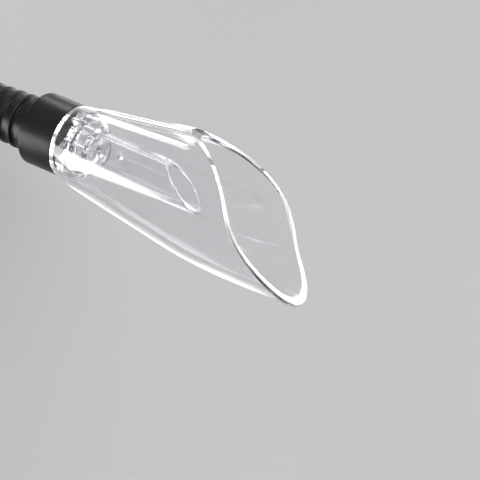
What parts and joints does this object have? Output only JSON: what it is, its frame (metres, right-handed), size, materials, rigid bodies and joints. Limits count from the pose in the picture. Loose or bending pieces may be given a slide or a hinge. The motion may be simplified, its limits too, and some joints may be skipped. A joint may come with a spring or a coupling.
{
  "type": "wine aerator pourer",
  "caption": "Clear pourer for a wine bottle: a leaf-mouthed shell round an inner nozzle, on a ribbed black rubber stopper with an air tube; it mixes air into the wine.",
  "frame": {"origin": "on the pourer's axis, in the plane where the collar's underside sits on the bottle's lip", "axes": "+Z along the pourer's axis, out of the bottle towards the spout; +X towards the beak, the long side of the mouth; Y completes it, and the pourer is the same on both sides of the XZ plane"},
  "size_m": [0.0414, 0.0436, 0.1733],
  "materials": {
    "clear_shell": "clear polished acrylic",
    "clear_core": "clear polished acrylic",
    "black_rubber": "smooth matte",
    "clear_tube": "clear drawn tube"
  },
  "bodies": {
    "root": {"spout_shell": "clear_shell", "nozzle_core": "clear_core", "rubber_stopper": "black_rubber", "air_tube": "clear_tube"}
  },
  "joints": []
}
